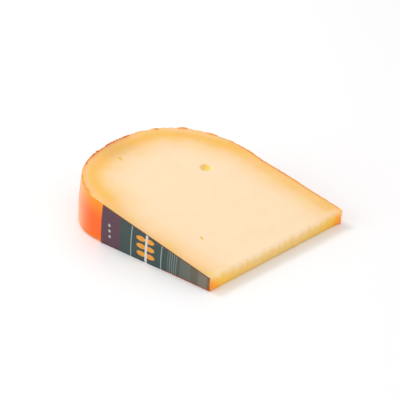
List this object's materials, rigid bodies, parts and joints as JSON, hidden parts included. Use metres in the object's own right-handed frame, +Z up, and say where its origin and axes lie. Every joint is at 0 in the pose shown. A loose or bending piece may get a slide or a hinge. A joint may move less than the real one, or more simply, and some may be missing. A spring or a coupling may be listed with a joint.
{
  "type": "wedge of aged gouda cheese",
  "caption": "Wedge of gouda cut from a wheel, lying on its cut side: pale paste with a few eyes, orange coated rind, trimmed tip and a dark printed label strip.",
  "frame": {"origin": "middle of the bounding box's base, on the lower cut face that the wedge lies on", "axes": "+X from the round rim towards the trimmed tip, -Y out of the labelled flat side of the wheel, +Z up; the wheel's axis runs along Y"},
  "size_m": [0.1324, 0.1156, 0.035],
  "materials": {
    "coated_cheese": "pale yellow cut cheese with a satin orange coating on the rind",
    "printed_paper": "matte printed paper in dark green and aubergine"
  },
  "bodies": {
    "root": {"cheese": "coated_cheese", "label": "printed_paper"}
  },
  "joints": []
}
